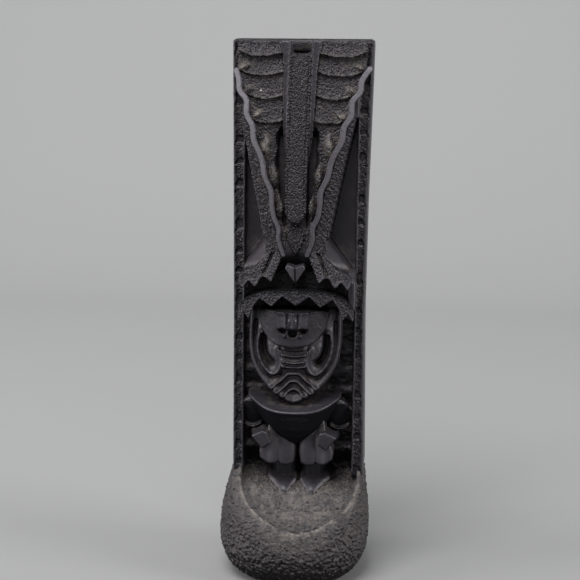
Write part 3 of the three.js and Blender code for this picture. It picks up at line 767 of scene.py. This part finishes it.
def limbs(side, name):
    def block(low, high, seed):
        xs = sorted((side * low[0], side * high[0]))
        return Block((xs[0] - 2.2, *low[1:]), (xs[1] + 0.5, *high[1:]), 0.42, seed)

    # The upper arm leans back under the shoulder, and its cuff is a thin crescent.
    b = block((13, -18, 66), (26, 4, 92), 61)
    u, z = b.u * side, b.z
    shape = [
        (15.0, 84.5), (20.0, 84.0), (23.2, 81.4), (24.6, 77), (25.4, 72), (23.8, 69.0), (17.0, 68.4),
        (13.8, 72), (14.6, 80),
    ]
    cuff = track(curve([(15.6, 70.6), (18.2, 69.2), (21.0, 69.0), (24.0, 70.4)]), u, z)
    front = -7.0 - table([(68, 0.0), (77, 4.2), (82, 7.6), (86, 7.5)], z) + 0.06 * (u - 18) ** 2
    front = front - 2.4 * np.exp(-((cuff / 0.5) ** 2))
    arm = relief(b, outline(curve(shape, 3), u, z), front, 3, 0.7) - b.grain(2.4) * 0.02
    cast(f"{name}_upper_arm", [f"{name}_upper_arm"], b, arm, SMOOTH)

    # The hand is a slanting plate laid on the thigh, and the forearm runs back from it into the niche.
    b = block((9.0, -26, 58), (25, 0, 74), 63)
    u, z = b.u * side, b.z
    plate = outline([(19.0, 68.2), (14.2, 62.2), (10.2, 65.4), (11.6, 70.6), (14.0, 71.0)], u, z)
    palm = -23.4 + 0.22 * (u - 11) - 0.14 * (z - 66)
    hand = relief(b, plate, palm, -12.0, 0.5)
    wrist = bar(b, (side * 20.0 - 1.6, -2, 66.8), (side * 15.4 - 1.6, -15, 65.8), (4.4, 3.8), 1.4)
    cast(f"{name}_forearm", [f"{name}_forearm"], b, either(hand, wrist, 0.8) - b.grain(2.4) * 0.02, SMOOTH)

    # The thigh is two flat-fronted lobes that flare downwards over the shin.
    b = block((-1.6, -24, 52), (18.5, 0, 78), 65)
    u, z = b.x * side, b.z
    wider = ease(u, 4, 16) * (1.0 if side < 0 else 0.0)
    shape = [
        (11.4, 77), (12.6, 70), (14.8, 65), (16.2, 60.6), (15.6, 57.2), (12.2, 54.9), (9.0, 54.8),
        (8.2, 55.6), (7.4, 54.6), (4.4, 54.2), (1.4, 55.4), (0.5, 60), (0.6, 77),
    ]
    lobes = np.minimum(0.085 * (u - wider - 12.0) ** 2, 0.12 * (u - wider - 4.9) ** 2)
    front = -20.6 + lobes + 0.012 * (z - 61) ** 2
    leg = relief(b, outline(shape, u - wider, z), front, -1.0, 1.0) - b.grain(2.4) * 0.015
    # A painted highlight streak down the outer lobe.
    painted_highlight_streak = 0.35 * np.exp(-(((u - wider - 11.6) / 1.3) ** 2) - ((z - 59.5) / 4.5) ** 2)
    cast(f"{name}_thigh", [f"{name}_thigh"], b, leg, SMOOTH, painted_highlight=painted_highlight_streak)

    b = block((-0.5, -14, 44), (15, 4, 59), 67)
    u = b.x * side
    plan = outline([(12.8, 2), (13.0, -4), (9.5, -9), (3.8, -9.2), (0.9, -5), (0.8, 2)], u, b.y)
    shin = both(plan, both(45.5 - b.z, b.z - 58), 0.8) - b.grain(2.4) * 0.02
    # Painted shade darkens the shin under the thigh's overhang.
    cast(f"{name}_shin", [f"{name}_shin"], b, shin, SMOOTH, np.float32(-0.7))

    # The foot is a wedge whose instep falls to pointed toes on the ledge.
    b = block((-0.5, -20, 38), (17.5, 4, 54), 69)
    u = b.x * side
    plan = [(14.0, 2), (15.6, -3), (14.6, -8.6), (7.6, -16.6), (4.6, -16.8), (0.6, -10.4), (0.4, 2)]
    instep = table([(2, 50.4), (-6, 48.8), (-10.5, 46.6), (-17, 41.6)], b.y) - 0.12 * np.abs(u - 6.4)
    foot = both(outline(plan, u, b.y), (b.z - instep) * 0.8, 2.0)
    foot = both(foot, table(LEDGE, b.y) - 2.0 - b.z) - b.grain(2.4) * 0.02
    cast(f"{name}_foot", [f"{name}_foot"], b, foot, SMOOTH)


# ---------------------------------------------------------------- stage, light and camera

def sweep():
    """A pale studio sweep: a level floor that curves up behind."""
    turn, radius = 0.55, 0.5
    angles = np.linspace(0.1, math.pi / 2, 14)
    bend = [(turn + radius * math.sin(a), radius - radius * math.cos(a)) for a in angles]
    profile = [(-1.4, 0.0), (turn, 0.0), *bend, (turn + radius, 2.6)]
    mesh = bpy.data.meshes.new("sweep")
    points = [(x, y, z) for y, z in profile for x in (-2.5, 2.5)]
    mesh.from_pydata(points, [], [(2 * i, 2 * i + 1, 2 * i + 3, 2 * i + 2) for i in range(len(profile) - 1)])
    mesh.polygons.foreach_set("use_smooth", [True] * len(mesh.polygons))
    material = bpy.data.materials.new("sweep")
    material.use_nodes = True
    nodes, links = material.node_tree.nodes, material.node_tree.links
    shader = nodes["Principled BSDF"]
    # The floor is a little darker near the figure than behind it.
    place = nodes.new("ShaderNodeSeparateXYZ")
    shade = nodes.new("ShaderNodeMapRange")
    links.new(nodes.new("ShaderNodeNewGeometry").outputs["Position"], place.inputs[0])
    links.new(place.outputs["Y"], shade.inputs["Value"])
    shade.inputs["From Min"].default_value, shade.inputs["From Max"].default_value = -0.1, 0.6
    shade.inputs["To Min"].default_value, shade.inputs["To Max"].default_value = 0.25, 0.43
    links.new(shade.outputs["Result"], shader.inputs["Base Color"])
    shader.inputs["Roughness"].default_value = 0.9
    mesh.materials.append(material)
    floor = bpy.data.objects.new("sweep", mesh)
    bpy.context.scene.collection.objects.link(floor)


def lamp(name, place, aim, size, power):
    light = bpy.data.lights.new(name, "AREA")
    light.shape = "RECTANGLE"
    light.size, light.size_y = size
    light.energy = power
    lamp = bpy.data.objects.new(name, light)
    lamp.location = place
    lamp.rotation_euler = (Vector(aim) - Vector(place)).to_track_quat("-Z", "Y").to_euler()
    bpy.context.scene.collection.objects.link(lamp)


def camera(azimuth=4, elevation=12, distance=0.770, target=(-6.1, 8, 128.5), roll=0.75, lens=105.4):
    a, e, r = (math.radians(v) for v in (azimuth, elevation, roll))
    back = Vector((math.sin(a) * math.cos(e), -math.cos(a) * math.cos(e), math.sin(e)))
    right = (-back).cross(Vector((0, 0, 1))).normalized()
    up = right.cross(-back)
    right, up = right * math.cos(r) + up * math.sin(r), up * math.cos(r) - right * math.sin(r)
    aim = Vector((np.array(target) + ORIGIN) * MM)
    data = bpy.data.cameras.new("camera")
    data.lens, data.sensor_width = lens, 36
    data.clip_start, data.clip_end = 0.05, 20
    made = bpy.data.objects.new("camera", data)
    turned = Matrix((right, up, back)).transposed().to_4x4()
    made.matrix_world = Matrix.Translation(aim + back * distance) @ turned
    bpy.context.scene.collection.objects.link(made)
    bpy.context.scene.camera = made


camera()
sweep()
lamp("key", (-0.2, -0.5, 1.05), (0, 0, 0.12), (0.6, 0.6), 14)
lamp("left", (-0.95, -0.3, 0.4), (0, 0, 0.13), (0.4, 0.8), 8.5)
lamp("right", (0.95, -0.3, 0.4), (0, 0, 0.13), (0.4, 0.8), 8.5)
world = bpy.data.worlds.new("world")
world.use_nodes = True
world.node_tree.nodes["Background"].inputs["Color"].default_value = (0.93, 0.95, 1, 1)
world.node_tree.nodes["Background"].inputs["Strength"].default_value = 0.23
bpy.context.scene.world = world
bpy.context.scene.view_settings.view_transform = "Standard"

boulder()
post()
headdress_core()
centre_band()
brow_beak()
tooth_band()
face()
nose()
torso()
for side, name in ((-1, "left"), (1, "right")):
    edge_strip(side, name)
    flute(side, name)
    feathers(side, name)
    ribbon(side, name)
    outer_band(side, name)
    brow(side, name)
    limbs(side, name)
add_wear_dust_and_shade_masks()
